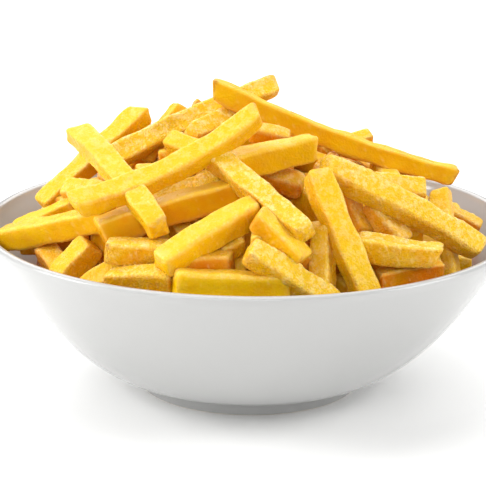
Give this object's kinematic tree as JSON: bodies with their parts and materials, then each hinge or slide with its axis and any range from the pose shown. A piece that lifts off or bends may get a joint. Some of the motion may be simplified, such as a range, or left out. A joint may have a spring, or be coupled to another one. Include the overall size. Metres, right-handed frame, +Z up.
{
  "type": "bowl of french fries",
  "caption": "Round white bowl on a low foot ring, heaped above its rim with loosely piled square-cut french fries.",
  "frame": {"origin": "middle of the foot ring's underside, on the table", "axes": "+Z up along the bowl's axis; -Y towards the guest who looks at the heap's shown side; +X to that guest's right"},
  "size_m": [0.229, 0.229, 0.1351],
  "materials": {
    "porcelain": "white glazed porcelain",
    "fried_potato": "golden fried crust with a slight oily sheen"
  },
  "bodies": {
    "root": {"bowl": "porcelain", "fries_heap": "fried_potato"}
  },
  "joints": []
}
